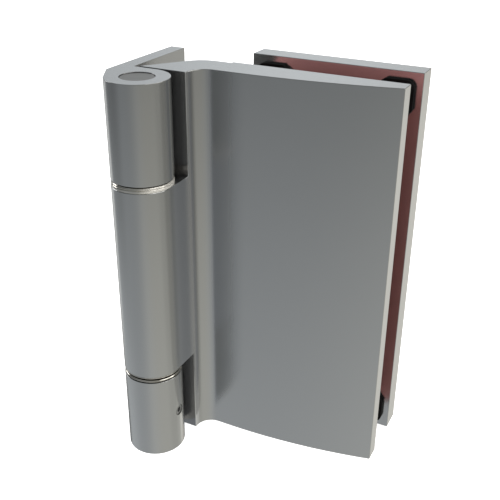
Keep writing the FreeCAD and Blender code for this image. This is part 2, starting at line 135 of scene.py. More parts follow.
class Graph:
    """Node tree of one material or of the world."""

    def __init__(self, tree: bpy.types.NodeTree) -> None:
        """Start from an emptied node tree."""
        self.tree = tree
        tree.nodes.clear()

    def node(
        self,
        kind: str,
        settings: Mapping[str, Any] | None = None,
        sockets: Mapping[str | int, Any] | None = None,
        output: str | int = 0,
    ) -> Value:
        """Add a node.

        Args:
            kind: Blender's type name of the node.
            settings: the node's own choices, set first.
            sockets: numbers, colours or values for its inputs.
            output: the output that is wanted.

        Returns:
            The wanted output as a value.
        """
        made = self.tree.nodes.new(kind)
        for name, choice in (settings or {}).items():
            setattr(made, name, choice)
        for key, entry in (sockets or {}).items():
            if isinstance(entry, Value):
                self.tree.links.new(entry.socket, made.inputs[key])
            else:
                made.inputs[key].default_value = entry
        return Value(self, made.outputs[output] if made.outputs else made.inputs[0])

    def places(self) -> Value:
        """Object coordinates, in metres from the origin of the part."""
        return self.node("ShaderNodeTexCoord", output="Object")

    def moved(self, vector: Value, shift: Sequence[float], scale: Sequence[float]) -> Value:
        """A vector scaled and then shifted by a Mapping node."""
        return self.node("ShaderNodeMapping", sockets={"Vector": vector, "Location": shift, "Scale": scale})

    def about_pin(self) -> tuple[Value, Value, Value, Value]:
        """Where each point of the surface lies about the pin.

        Returns:
            X, Y and Z in millimetres from the lower end of the pin axis, and the distance from it.
        """
        scale = (1 / MILLIMETRE,) * 3
        x, y, z = self.parts_of(self.moved(self.places(), tuple(-AXIS_IN_PART), scale))
        return x, y, z, (x * x + y * y) ** 0.5

    def parts_of(self, vector: Value) -> tuple[Value, Value, Value]:
        """The three numbers of a vector."""
        split = self.node("ShaderNodeSeparateXYZ", sockets={0: vector}).socket.node
        return tuple(Value(self, socket) for socket in split.outputs)

    def vector(self, x: Any, y: Any, z: Any) -> Value:
        """A vector of three values or numbers."""
        return self.node("ShaderNodeCombineXYZ", sockets={0: x, 1: y, 2: z})

    def along(self, vector: Value, axis: Triple) -> Value:
        """How far a vector goes along an axis: their dot product."""
        sockets = {0: vector, 1: axis}
        return self.node("ShaderNodeVectorMath", {"operation": "DOT_PRODUCT"}, sockets, "Value")

    def noise(self, vector: Value, detail: float, roughness: float) -> Value:
        """Soft noise from 0 to 1."""
        sockets = {"Vector": vector, "Scale": 1.0, "Detail": detail, "Roughness": roughness}
        return self.node("ShaderNodeTexNoise", sockets=sockets)

    def step(self, amount: Value, span: Span) -> Value:
        """Smooth step from 0 at the start of a span to 1 at its end."""
        sockets = {"Value": amount, "From Min": span[0], "From Max": span[1]}
        return self.node("ShaderNodeMapRange", {"interpolation_type": "SMOOTHSTEP"}, sockets)

    def fall(self, amount: Value, span: Span) -> Value:
        """Smooth step from 1 at the start of a span to 0 at its end."""
        return 1.0 - self.step(amount, span)

    def band(self, amount: Value, band: Band) -> Value:
        """1 between the two spans of a band, with smooth steps to 0 over them."""
        return self.step(amount, band[0]) * self.fall(amount, band[1])

    def mean(self, first: Value, second: Value) -> Value:
        """Half the sum of two values."""
        return (first + second) / 2.0

    def around(self, noise: Value, middle: Any, spread: float) -> Value:
        """A middle value, with noise of a spread about it."""
        return middle + (noise - NOISE_MIDDLE) * spread

    def mixed(self, factor: Any, first: Any, second: Any) -> Value:
        """Mix two colours.

        Args:
            factor: share of the second colour.
            first: a colour or a value.
            second: a colour or a value.

        Returns:
            The mixed colour.
        """
        pair = [c if isinstance(c, Value) else (*c, 1.0) for c in (first, second)]
        sockets = {0: factor, **dict(zip(MIX_COLOURS, pair))}
        return self.node("ShaderNodeMix", {"data_type": "RGBA"}, sockets, MIX_RESULT)

    def bump(self, height: Value, strength: float, depth: float, under: Value | None = None) -> Value:
        """Bend a normal by a height.

        Args:
            height: the height, from 0 to 1.
            strength: share of the bend that is used.
            depth: what a height of 1 stands for, in metres.
            under: the normal to start from, if not the surface's own.

        Returns:
            The bent normal.
        """
        sockets = {"Height": height, "Strength": strength, "Distance": depth}
        if under is not None:
            sockets["Normal"] = under
        return self.node("ShaderNodeBump", sockets=sockets)

    def surface(self, **sockets: Any) -> None:
        """Finish a material with a Principled shader.

        Args:
            sockets: its inputs, with underscores for the spaces in their names.
        """
        named = {name.replace("_", " "): entry for name, entry in sockets.items()}
        shader = self.node("ShaderNodeBsdfPrincipled", sockets=named)
        self.node("ShaderNodeOutputMaterial", sockets={"Surface": shader})


@dataclass(frozen=True)
class Grain:
    """Soft noise over a surface: how often it repeats in a metre of X, Y and Z, and how fine it is."""

    repeats: Triple
    detail: float
    roughness: float
    shift: Triple = (0.0, 0.0, 0.0)

    def on(self, graph: Graph) -> Value:
        """The noise, from 0 to 1."""
        return graph.noise(graph.moved(graph.places(), self.shift, self.repeats), self.detail, self.roughness)


class Finish:
    """A finish of the hinge, made once and shared by all pieces that have it."""

    slot: str

    def dress(self, graph: Graph) -> None:
        """Fill the material's graph."""
        raise NotImplementedError

    def material(self) -> bpy.types.Material:
        """The finish as a Blender material.

        Returns:
            The material, made the first time it is asked for.
        """
        name = f"{self.slot}_finish"
        made = bpy.data.materials.get(name)
        if made is None:
            made = bpy.data.materials.new(name)
            made.use_nodes = True
            self.dress(Graph(made.node_tree))
        return made


@dataclass(frozen=True)
class SatinMetal(Finish):
    """Extruded metal, satin finished, with sawn ends, painted shade in the notch gaps and bores, a painted
    reflection streak beside the valley and a painted highlight on the web.
    """

    slot: str = "satin_aluminium"
    colour: Colour = (0.665, 0.665, 0.665)
    deep_colour: Colour = (0.635, 0.635, 0.635)
    sawn_colour: Colour = (0.54, 0.54, 0.54)
    # painted shade in the notch gaps and the pin bores
    gap_shade_colour: Colour = (0.33, 0.33, 0.34)
    # painted shade in the grub screw's hole
    hole_shade_colour: Colour = (0.05, 0.05, 0.05)
    # painted reflection of the knuckle and web, on the plate beside the valley
    reflection_streak_colour: Colour = (0.415, 0.43, 0.455)
    # painted highlight on the web and along its edge at the notch
    web_highlight_colour: Colour = (0.76, 0.76, 0.785)
    lines: Grain = Grain((4200.0, 4200.0, 36.0), 3.0, 0.6)
    grain: Grain = Grain((5200.0,) * 3, 2.0, 0.6)
    clouds: Grain = Grain((38.0,) * 3, 3.0, 0.5)
    saw_marks: Grain = Grain((900.0, 3200.0, 900.0), 4.0, 0.65)
    cloud_share: float = 0.7
    roughness: float = 0.20
    line_spread: float = 0.05
    cloud_spread: float = 0.04
    sawn_roughness: float = 0.1
    streak_roughness: float = 0.14
    relief: float = 0.06
    sawn_relief: float = 0.12
    relief_depth: float = 0.00003
    bore_wall: Span = (6.05, 6.20)
    notch_x: Band = ((-8.7, -8.5), (10.6, 11.1))
    notch_y: Band = ((10.8, 11.2), (12.35, 12.5))
    hole_height: float = 17.5
    hole_wall: Span = (2.1, 2.3)
    hole_side: Span = (0.0, 1.0)
    streak_x: Band = ((15.6, 17.4), (17.8, 30.8))
    streak_y: Band = ((19.3, 19.6), (20.3, 20.7))
    streak_foot: Span = (7.0, 16.0)
    streak_slant: float = 1.5
    web_x: float = 11.2
    web_depth: Span = (0.1, 0.3)
    web_start: Span = (0.5, 3.0)
    web_rim: Span = (11.8, 12.3)
    knuckle_middle: float = 74.75
    knuckle_end: Span = (37.85, 38.85)
    half_height: float = 75.0
    sawn_end: Span = (74.8, 74.95)

    def gap_shade(self, graph: Graph) -> Value:
        """Mark painted shade in the pin bores, and in the strips between a knuckle and the notch beside it.

        Args:
            graph: the material's graph.

        Returns:
            A mask, 1 there and 0 elsewhere.
        """
        x, y, _, distance = graph.about_pin()
        notch = graph.band(y, self.notch_y) * graph.band(x, self.notch_x)
        return graph.fall(distance, self.bore_wall) + notch

    def cross_hole_shade(self, graph: Graph) -> Value:
        """Mark painted shade in the hole of the grub screw.

        Args:
            graph: the material's graph.

        Returns:
            A mask, 1 there and 0 elsewhere.
        """
        x, y, z, _ = graph.about_pin()
        from_middle = (y * y + (z - self.hole_height) ** 2.0) ** 0.5
        return graph.fall(from_middle, self.hole_wall) * graph.step(x, self.hole_side)

    def reflection_streak(self, graph: Graph) -> Value:
        """Mark a streak on the front of the plate beside the valley, a painted reflection of knuckle and web
        with a duller finish, which tapers off at its foot.

        Args:
            graph: the material's graph.

        Returns:
            A mask, 1 there and 0 elsewhere.
        """
        x, y, z, _ = graph.about_pin()
        on_front = graph.band(x, self.streak_x) * graph.band(y, self.streak_y)
        (_, _), (fade_start, _) = self.streak_x
        above = z - (x - fade_start) * self.streak_slant
        return on_front * graph.step(above, self.streak_foot)

    def web_highlight(self, graph: Graph) -> Value:
        """Mark the flat web between knuckle and valley, and a line along its edge at the notch, for a painted
        highlight.

        Args:
            graph: the material's graph.

        Returns:
            A mask, 1 there and 0 elsewhere.
        """
        x, y, z, _ = graph.about_pin()
        face = graph.fall(abs(x - self.web_x), self.web_depth)
        at_knuckle = graph.fall(abs(z - self.knuckle_middle), self.knuckle_end)
        return face * (at_knuckle * graph.step(y, self.web_start) + graph.step(y, self.web_rim))

    def ends(self, graph: Graph) -> Value:
        """1 on the two sawn ends of the extrusion, else 0."""
        _, _, z, _ = graph.about_pin()
        return graph.step(abs(z - self.half_height), self.sawn_end)

    def dress(self, graph: Graph) -> None:
        """Draw lines stretch along the pin, clouds vary the tone, and uneven streaks cross the sawn ends.

        Args:
            graph: the material's graph.
        """
        lines, grain, clouds = self.lines.on(graph), self.grain.on(graph), self.clouds.on(graph)
        ends = self.ends(graph)
        sawn = ends * self.saw_marks.on(graph)
        # painted reflection streak beside the valley, kept off the sawn ends
        reflection_streak = self.reflection_streak(graph) * (1.0 - ends)
        tone = clouds * self.cloud_share + lines * (1.0 - self.cloud_share)
        colour = graph.mixed(tone, self.deep_colour, self.colour)
        # layers: painted highlight on the web, painted reflection streak, saw marks, painted shade in gaps
        # and bores, painted shade in the grub screw's hole
        layers = (
            (self.web_highlight(graph) * (1.0 - ends), self.web_highlight_colour),
            (reflection_streak, self.reflection_streak_colour),
            (sawn, self.sawn_colour),
            (self.gap_shade(graph), self.gap_shade_colour),
            (self.cross_hole_shade(graph), self.hole_shade_colour),
        )
        for mask, over in layers:
            colour = graph.mixed(mask, colour, over)
        cloudy = graph.around(clouds, self.roughness, self.cloud_spread)
        uneven = graph.around(lines, cloudy, self.line_spread)
        relief = graph.bump(graph.mean(lines, grain), self.relief, self.relief_depth)
        graph.surface(
            Base_Color=colour,
            Metallic=1.0,
            Roughness=uneven + sawn * self.sawn_roughness + reflection_streak * self.streak_roughness,
            Normal=graph.bump(sawn, self.sawn_relief, self.relief_depth, relief),
        )


@dataclass(frozen=True)
class TurnedMetal(Finish):
    """Turned or ground metal with fine lines round or along the pin."""

    slot: str
    colour: Colour
    deep_colour: Colour
    roughness: float
    lay: Lay
    line_width: float = 0.08
    line_stretch: float = 0.04
    line_detail: float = 2.0
    line_roughness: float = 0.55
    line_spread: float = 0.08
    clouds: Grain = Grain((160.0,) * 3, 2.0, 0.5)
    cloud_spread: float = 0.05
    relief: float = 0.1
    relief_depth: float = 0.00004

    def with_painted_shade(self, graph: Graph, metal: Value) -> Value:
        """The metal's colour with painted shade laid over it, here none."""
        return metal

    def shine(self, graph: Graph) -> Value | float:
        """How metallic the surface is, here wholly."""
        return 1.0

    def dress(self, graph: Graph) -> None:
        """Lines come from noise on the distance from the pin axis and the height, or drawn out along it.

        Args:
            graph: the material's graph.
        """
        x, y, z, distance = graph.about_pin()
        if self.lay is Lay.ALONG_PIN:
            path = graph.vector(x / self.line_width, y / self.line_width, z * self.line_stretch)
        else:
            path = graph.vector(distance / self.line_width, 0.0, z / self.line_width)
        lines = graph.noise(path, self.line_detail, self.line_roughness)
        clouds = self.clouds.on(graph)
        metal = graph.mixed(graph.mean(lines, clouds), self.deep_colour, self.colour)
        cloudy = graph.around(clouds, self.roughness, self.cloud_spread)
        graph.surface(
            Base_Color=self.with_painted_shade(graph, metal),
            Metallic=self.shine(graph),
            Roughness=graph.around(lines, cloudy, self.line_spread),
            Normal=graph.bump(lines, self.relief, self.relief_depth),
        )


@dataclass(frozen=True)
class PolishedRim(TurnedMetal):
    """Polished bush: painted shade in the groove inside its rim, and hazy where the upper rims face the free
    edge.
    """

    groove_shade_edge: Span = (10.65, 10.75)
    # painted shade in the groove between the flanges
    groove_shade: Colour = (0.07, 0.065, 0.058)
    haze: float = 0.5
    haze_side: Span = (4.0, 9.0)
    haze_above: Span = (74.0, 75.0)

    def outside_groove_shade(self, graph: Graph) -> Value:
        """1 on the rim, 0 in the painted shade of the groove within it."""
        return graph.step(graph.about_pin()[-1], self.groove_shade_edge)

    def with_painted_shade(self, graph: Graph, metal: Value) -> Value:
        """The metal's colour, and painted shade in the groove between the flanges."""
        return graph.mixed(self.outside_groove_shade(graph), self.groove_shade, metal)

    def shine(self, graph: Graph) -> Value | float:
        """Wholly metallic but for the haze, which grows towards the free edge.

        Args:
            graph: the material's graph.

        Returns:
            How metallic the rim is, from 0 to 1.
        """
        x, _, z, _ = graph.about_pin()
        hazy = self.outside_groove_shade(graph) * graph.step(x, self.haze_side) * graph.step(z, self.haze_above)
        return 1.0 - hazy * self.haze


@dataclass(frozen=True)
class VulcanFibre(Finish):
    """Pressed red-brown fibre sheet: short pale and dark fibres in a matt ground."""

    slot: str = "red_fibre"
    colour: Colour = (0.33, 0.122, 0.112)
    deep_colour: Colour = (0.25, 0.09, 0.082)
    fleck_colour: Colour = (0.45, 0.22, 0.20)
    # painted light on the upper end of the sheet, lit from above
    top_light_colour: Colour = (0.68, 0.295, 0.285)
    across: Grain = Grain((700.0, 3000.0, 4200.0), 3.0, 0.6)
    upward: Grain = Grain((4200.0, 3000.0, 700.0), 3.0, 0.6, (3.0, 1.0, 2.0))
    clouds: Grain = Grain((90.0,) * 3, 3.0, 0.5)
    top_light_above: Span = (132.0, 146.0)
    top_light_share: float = 0.8
    fleck_peaks: Span = (0.58, 0.72)
    fleck_share: float = 0.5
    roughness: float = 0.62
    fibre_spread: float = 0.3
    relief: float = 0.25
    relief_depth: float = 0.00006

    def dress(self, graph: Graph) -> None:
        """Fibres are noise drawn out along X and along Z, crossed; flecks are its peaks; the top is painted
        lighter, a painted pool of light from above.

        Args:
            graph: the material's graph.
        """
        fibres = graph.mean(self.across.on(graph), self.upward.on(graph))
        tone = graph.mean(self.clouds.on(graph), fibres)
        _, _, z, _ = graph.about_pin()
        fibre_tone = graph.mixed(tone, self.deep_colour, self.colour)
        # painted light: the upper end of the sheet is made lighter
        ground = graph.mixed(graph.step(z, self.top_light_above) * self.top_light_share, fibre_tone, self.top_light_colour)
        flecks = graph.step(fibres, self.fleck_peaks) * self.fleck_share
        graph.surface(
            Base_Color=graph.mixed(flecks, ground, self.fleck_colour),
            Roughness=graph.around(fibres, self.roughness, self.fibre_spread),
            Normal=graph.bump(fibres, self.relief, self.relief_depth),
        )


@dataclass(frozen=True)
class Moulded(Finish):
    """Moulded rubber or plastic: a second tone in soft clouds or flow marks, under a fine grain."""

    slot: str
    colour: Colour
    cloud_colour: Colour
    clouds: Grain
    grain: Grain
    roughness: float
    grain_spread: float
    relief: float
    relief_depth: float
    cloud_peaks: Span | None = None
    specular: float = 0.5

    def dress(self, graph: Graph) -> None:
        """Clouds mix the two tones, only at their peaks if a span for these is given.

        Args:
            graph: the material's graph.
        """
        grain, clouds = self.grain.on(graph), self.clouds.on(graph)
        if self.cloud_peaks is not None:
            clouds = graph.step(clouds, self.cloud_peaks)
        graph.surface(
            Base_Color=graph.mixed(clouds, self.colour, self.cloud_colour),
            Roughness=graph.around(grain, self.roughness, self.grain_spread),
            Specular_IOR_Level=self.specular,
            Normal=graph.bump(grain, self.relief, self.relief_depth),
        )


SATIN = SatinMetal()
GROUND = TurnedMetal("ground_steel", (0.29, 0.278, 0.262), (0.24, 0.231, 0.218), 0.34, Lay.ROUND_PIN)
SCREW = TurnedMetal("screw_steel", (0.52, 0.52, 0.52), (0.40, 0.40, 0.40), 0.36, Lay.ALONG_PIN)
POLISHED = PolishedRim(
    "polished_bush",
    (0.80, 0.77, 0.71),
    (0.73, 0.70, 0.645),
    0.09,
    Lay.ROUND_PIN,
    line_width=0.06,
    relief=0.03,
)
FIBRE = VulcanFibre()
RUBBER = Moulded(
    slot="black_rubber",
    colour=(0.004, 0.004, 0.004),
    cloud_colour=(0.010, 0.009, 0.009),
    clouds=Grain((110.0,) * 3, 4.0, 0.6),
    grain=Grain((4200.0,) * 3, 3.0, 0.6),
    roughness=0.6,
    grain_spread=0.25,
    relief=0.3,
    relief_depth=0.00005,
    cloud_peaks=(0.45, 0.8),
    specular=0.10,
)
PLASTIC = Moulded(
    slot="white_plastic",
    colour=(0.70, 0.69, 0.66),
    cloud_colour=(0.80, 0.79, 0.76),
    clouds=Grain((900.0, 120.0, 900.0), 3.0, 0.55),
    grain=Grain((3600.0,) * 3, 2.0, 0.5),
    roughness=0.42,
    grain_spread=0.2,
    relief=0.15,
    relief_depth=0.00004,
)


def placed(name: str, data: bpy.types.ID) -> bpy.types.Object:
    """Put a new object in the scene, at the origin.

    Args:
        name: its name.
        data: its mesh, lamp or camera.

    Returns:
        The object.
    """
    made = bpy.data.objects.new(name, data)
    bpy.context.scene.collection.objects.link(made)
    return made


def arc(centre: Sequence[float], radius: float, start: float, end: float, steps: int) -> Array:
    """Points on an arc: centre plus radius times the cosine and sine of an evenly stepped angle.

    Args:
        centre: the two coordinates of the centre.
        radius: the radius.
        start: first angle in degrees.
        end: last angle in degrees.
        steps: number of chords.

    Returns:
        An array of steps + 1 points of two coordinates.
    """
    angle = np.radians(np.linspace(start, end, steps + 1))
    return np.column_stack((centre[0] + radius * np.cos(angle), centre[1] + radius * np.sin(angle)))


def rounded(corners: Array, radii: Sequence[float], steps: int = 8) -> Array:
    """Round the corners of a closed outline.

    Each corner gives way to the arc that touches both of its sides at radius over the tangent of half
    the angle between them; the arc's points are found by turning from the first touch to the second.

    Args:
        corners: the outline's corners, two coordinates each.
        radii: a radius for every corner.
        steps: number of chords in an arc.

    Returns:
        The points of the rounded outline.
    """
    points = []
    neighbours = zip(np.roll(corners, 1, axis=0), corners, np.roll(corners, -1, axis=0))
    for (before, corner, after), radius in zip(neighbours, radii):
        back = (before - corner) / np.linalg.norm(before - corner)
        on = (after - corner) / np.linalg.norm(after - corner)
        half = np.arccos(np.clip(back @ on, -1.0, 1.0)) / 2
        centre = corner + (back + on) / np.linalg.norm(back + on) * radius / np.sin(half)
        first = corner + back * radius / np.tan(half) - centre
        turn = np.sign(back[1] * on[0] - back[0] * on[1]) * (np.pi - 2 * half)
        angle = np.linspace(0.0, turn, steps + 1)[:, None]
        points.append(centre + np.cos(angle) * first + np.sin(angle) * (first[::-1] * (-1, 1)))
    return np.vstack(points)


def spliced(even: Array, extra: Array) -> Array:
    """Put extra angles in place of the even ones that lie among them.

    Args:
        even: angles in even steps.
        extra: angles close together.

    Returns:
        All angles in order.
    """
    if len(extra) == 0:
        return even
    apart = (even < extra.min() - ANGLE_GAP) | (even > extra.max() + ANGLE_GAP)
    return np.sort(np.concatenate((even[apart], extra)))


def circle(radius: float, steps: int, extra: Array = NO_ANGLES) -> Array:
    """Points round a circle about the origin, with extra ones where a cross hole needs them.

    Args:
        radius: the radius.
        steps: number of even steps in the turn.
        extra: further angles in radians.

    Returns:
        Points of two coordinates, in order of their angle.
    """
    even = np.linspace(-np.pi, np.pi, steps, endpoint=False)
    angle = spliced(even, extra)
    return radius * np.column_stack((np.cos(angle), np.sin(angle)))


def upright(corners: Sequence[Pair], level: float, axis: Axis) -> Array:
    """Points of a flat face from two coordinates each and a third that they share.

    Args:
        corners: the two free coordinates.
        level: the shared coordinate.
        axis: the axis that the face lies across.

    Returns:
        Points of three coordinates.
    """
    return np.insert(np.asarray(corners, dtype=float), axis, level, axis=1)


@dataclass(frozen=True)
class Turn:
    """One turn round an axis that runs along X, Y or Z through a place of the other two."""

    axis: Axis
    centre: Pair
    steps: int

    def ring(self, radius: float, depth: float) -> Array:
        """Points round the axis at a radius from it and a depth along it."""
        return upright(circle(radius, self.steps) + self.centre, depth, self.axis)


class Skin:
    """The faces of a closed skin, gathered in millimetres about the pin axis."""

    def __init__(self) -> None:
        """Start without faces."""
        self.points: list[Array] = []
        self.faces: list[list[int]] = []

    def _add(self, points: Array, faces: Sequence[Sequence[int]]) -> None:
        """Take in points and the faces on them.

        Args:
            points: three coordinates each.
            faces: for each face, which of the points it joins.
        """
        first = sum(len(part) for part in self.points)
        self.points.append(points)
        self.faces += [[corner + first for corner in face] for face in faces]

    def sheet(self, rows: Array, ring: bool = False) -> None:
        """Join every row of a grid of points to the next by four-sided faces.

        Args:
            rows: points by row and place in the row.
            ring: whether the end of a row is joined to its start.
        """
        index = np.arange(rows.shape[0] * rows.shape[1]).reshape(rows.shape[:2])
        if ring:
            index = np.column_stack((index, index[:, 0]))
        corners = (index[:-1, :-1], index[:-1, 1:], index[1:, 1:], index[1:, :-1])
        self._add(rows.reshape(-1, 3), np.stack(corners, axis=-1).reshape(-1, 4).tolist())

    def wall(self, plan: Array, *levels: Any, ring: bool = False) -> None:
        """Carry a line of plan points up the pin: x and y stay, z goes through the levels.

        Args:
            plan: points of X and Y.
            levels: heights, each one number or one for every point of the plan.
            ring: whether the line is closed.
        """
        rows = [np.column_stack((plan, np.broadcast_to(level, len(plan)))) for level in levels]
        self.sheet(np.stack(rows), ring)

    def flat(self, outline: Array, holes: Sequence[Array] = ()) -> None:
        """Fill a flat outline and leave its round holes open.

        Args:
            outline: points round the face, all with one coordinate in common.
            holes: points round each hole.
        """
        loops = [outline, *holes]
        points = np.vstack(loops)
        kept = np.delete(points, np.argmin(np.ptp(points, axis=0)), axis=1)
        loop_of = np.repeat(np.arange(len(loops)), [len(loop) for loop in loops])
        edges = []
        for number in range(len(loops)):
            members = np.flatnonzero(loop_of == number)
            edges += np.column_stack((members, np.roll(members, -1))).tolist()
        _, _, filled, origins, _, _ = geometry.delaunay_2d_cdt(
            [Vector(pair) for pair in kept], edges, [], FILL_INSIDE_EDGES, FILL_WITHIN
        )
        source = [first for first, *_ in origins]
        triangles = [[source[corner] for corner in face] for face in filled]
        in_hole = [len({*loop_of[face]}) == 1 and loop_of[face[0]] > 0 for face in triangles]
        self._add(points, [face for face, dropped in zip(triangles, in_hole) if not dropped])

    def cap(self, level: float, outline: Array, *holes: Array) -> None:
        """Fill an outline of X and Y at one height, and leave its holes open."""
        self.flat(upright(outline, level, Axis.Z), [upright(hole, level, Axis.Z) for hole in holes])

    def turned(self, section: Sequence[Pair], turn: Turn) -> None:
        """Turn a section: a point at distance r and depth d goes once round the axis.

        Args:
            section: distance and depth of each edge.
            turn: the axis, and the number of steps round it.
        """
        self.sheet(np.stack([turn.ring(radius, depth) for radius, depth in section]), ring=True)

    def piece(self, name: str, rounding: float = 0.0) -> bpy.types.Object:
        """Make an object at the origin.

        Args:
            name: name of the piece.
            rounding: radius on every outer edge that is not smooth.

        Returns:
            The object: doubles merged, flat neighbours joined, faces outwards.
        """
        mesh = bpy.data.meshes.new(name)
        mesh.from_pydata((np.vstack(self.points) + AXIS_IN_PART) * MILLIMETRE, [], self.faces)
        work = bmesh.new()
        work.from_mesh(mesh)
        bmesh.ops.remove_doubles(work, verts=work.verts, dist=MERGE_WITHIN)
        bmesh.ops.dissolve_degenerate(work, edges=work.edges, dist=MERGE_WITHIN)
        bmesh.ops.recalc_face_normals(work, faces=work.faces)
        bmesh.ops.dissolve_limit(work, angle_limit=FLAT_UP_TO, verts=work.verts, edges=work.edges)
        weights = work.edges.layers.float.new("bevel_weight_edge")
        for edge in work.edges:
            turns = edge.calc_face_angle(0.0) > SMOOTH_UP_TO
            rounds = turns and edge.is_convex and rounding > 0
            edge[weights] = float(rounds)
            edge.smooth = rounds or not turns
        open_edges = sum(not edge.is_manifold for edge in work.edges)
        if open_edges:
            LOG.warning("%s: %d open edges", name, open_edges)
        work.to_mesh(mesh)
        work.free()
        mesh.polygons.foreach_set("use_smooth", np.ones(len(mesh.polygons), dtype=bool))
        piece = placed(name, mesh)
        if rounding > 0:
            bevel = piece.modifiers.new("rounded_edges", "BEVEL")
            bevel.limit_method = "WEIGHT"
            bevel.width = rounding * MILLIMETRE
            bevel.segments = BEVEL_STEPS
            bevel.harden_normals = True
        return piece


def hang(skin: Skin, node: str, suffix: str, finish: Finish, body: str, rounding: float = 0.0) -> None:
    """Make a piece that stands for a CAD node, dress it and put it on its body.

    Args:
        skin: the faces of the piece.
        node: the CAD node it replaces.
        suffix: end of its name, after the node's.
        finish: its finish.
        body: the body it rides on.
        rounding: radius on its outer edges.
    """
    piece = skin.piece(f"{node}_{suffix}", rounding)
    piece.data.materials.append(finish.material())
    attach(piece, body)
    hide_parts(node)
    LOG.info("%s: %d faces on %s", piece.name, len(piece.data.polygons), body)


def dress_node(name: str, finish: Finish) -> None:
    """Give a CAD node its finish."""
    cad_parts[name].material_slots[0].material = finish.material()
    LOG.info("%s: CAD node, %s", name, finish.slot)


@dataclass
class HingePart:
    """Sizes in millimetres that several parts share."""

    height: float = 150.0
    near_x: float = 18.2
    far_x: float = 82.8
    screw_x: float = 50.5
    screw_heights: Pair = (40.0, 110.0)
    rounding: float = 0.25
    hole_steps: int = 48

    def screw_turns(self) -> list[Turn]:
        """Turns round the lower and the upper clamp screw."""
        return [Turn(Axis.Y, (self.screw_x, height), self.hole_steps) for height in self.screw_heights]


@dataclass
class Leaf(HingePart):
    """What both leaves have: knuckles on the pin with seats for the bushes, in one skin."""

    knuckle_radius: float = 11.2
    notch_y: float = 12.3
    seat_radius: float = 8.02
    seat_depth: float = 12.0
    round_steps: int = 96
    skin: Skin = field(default_factory=Skin)


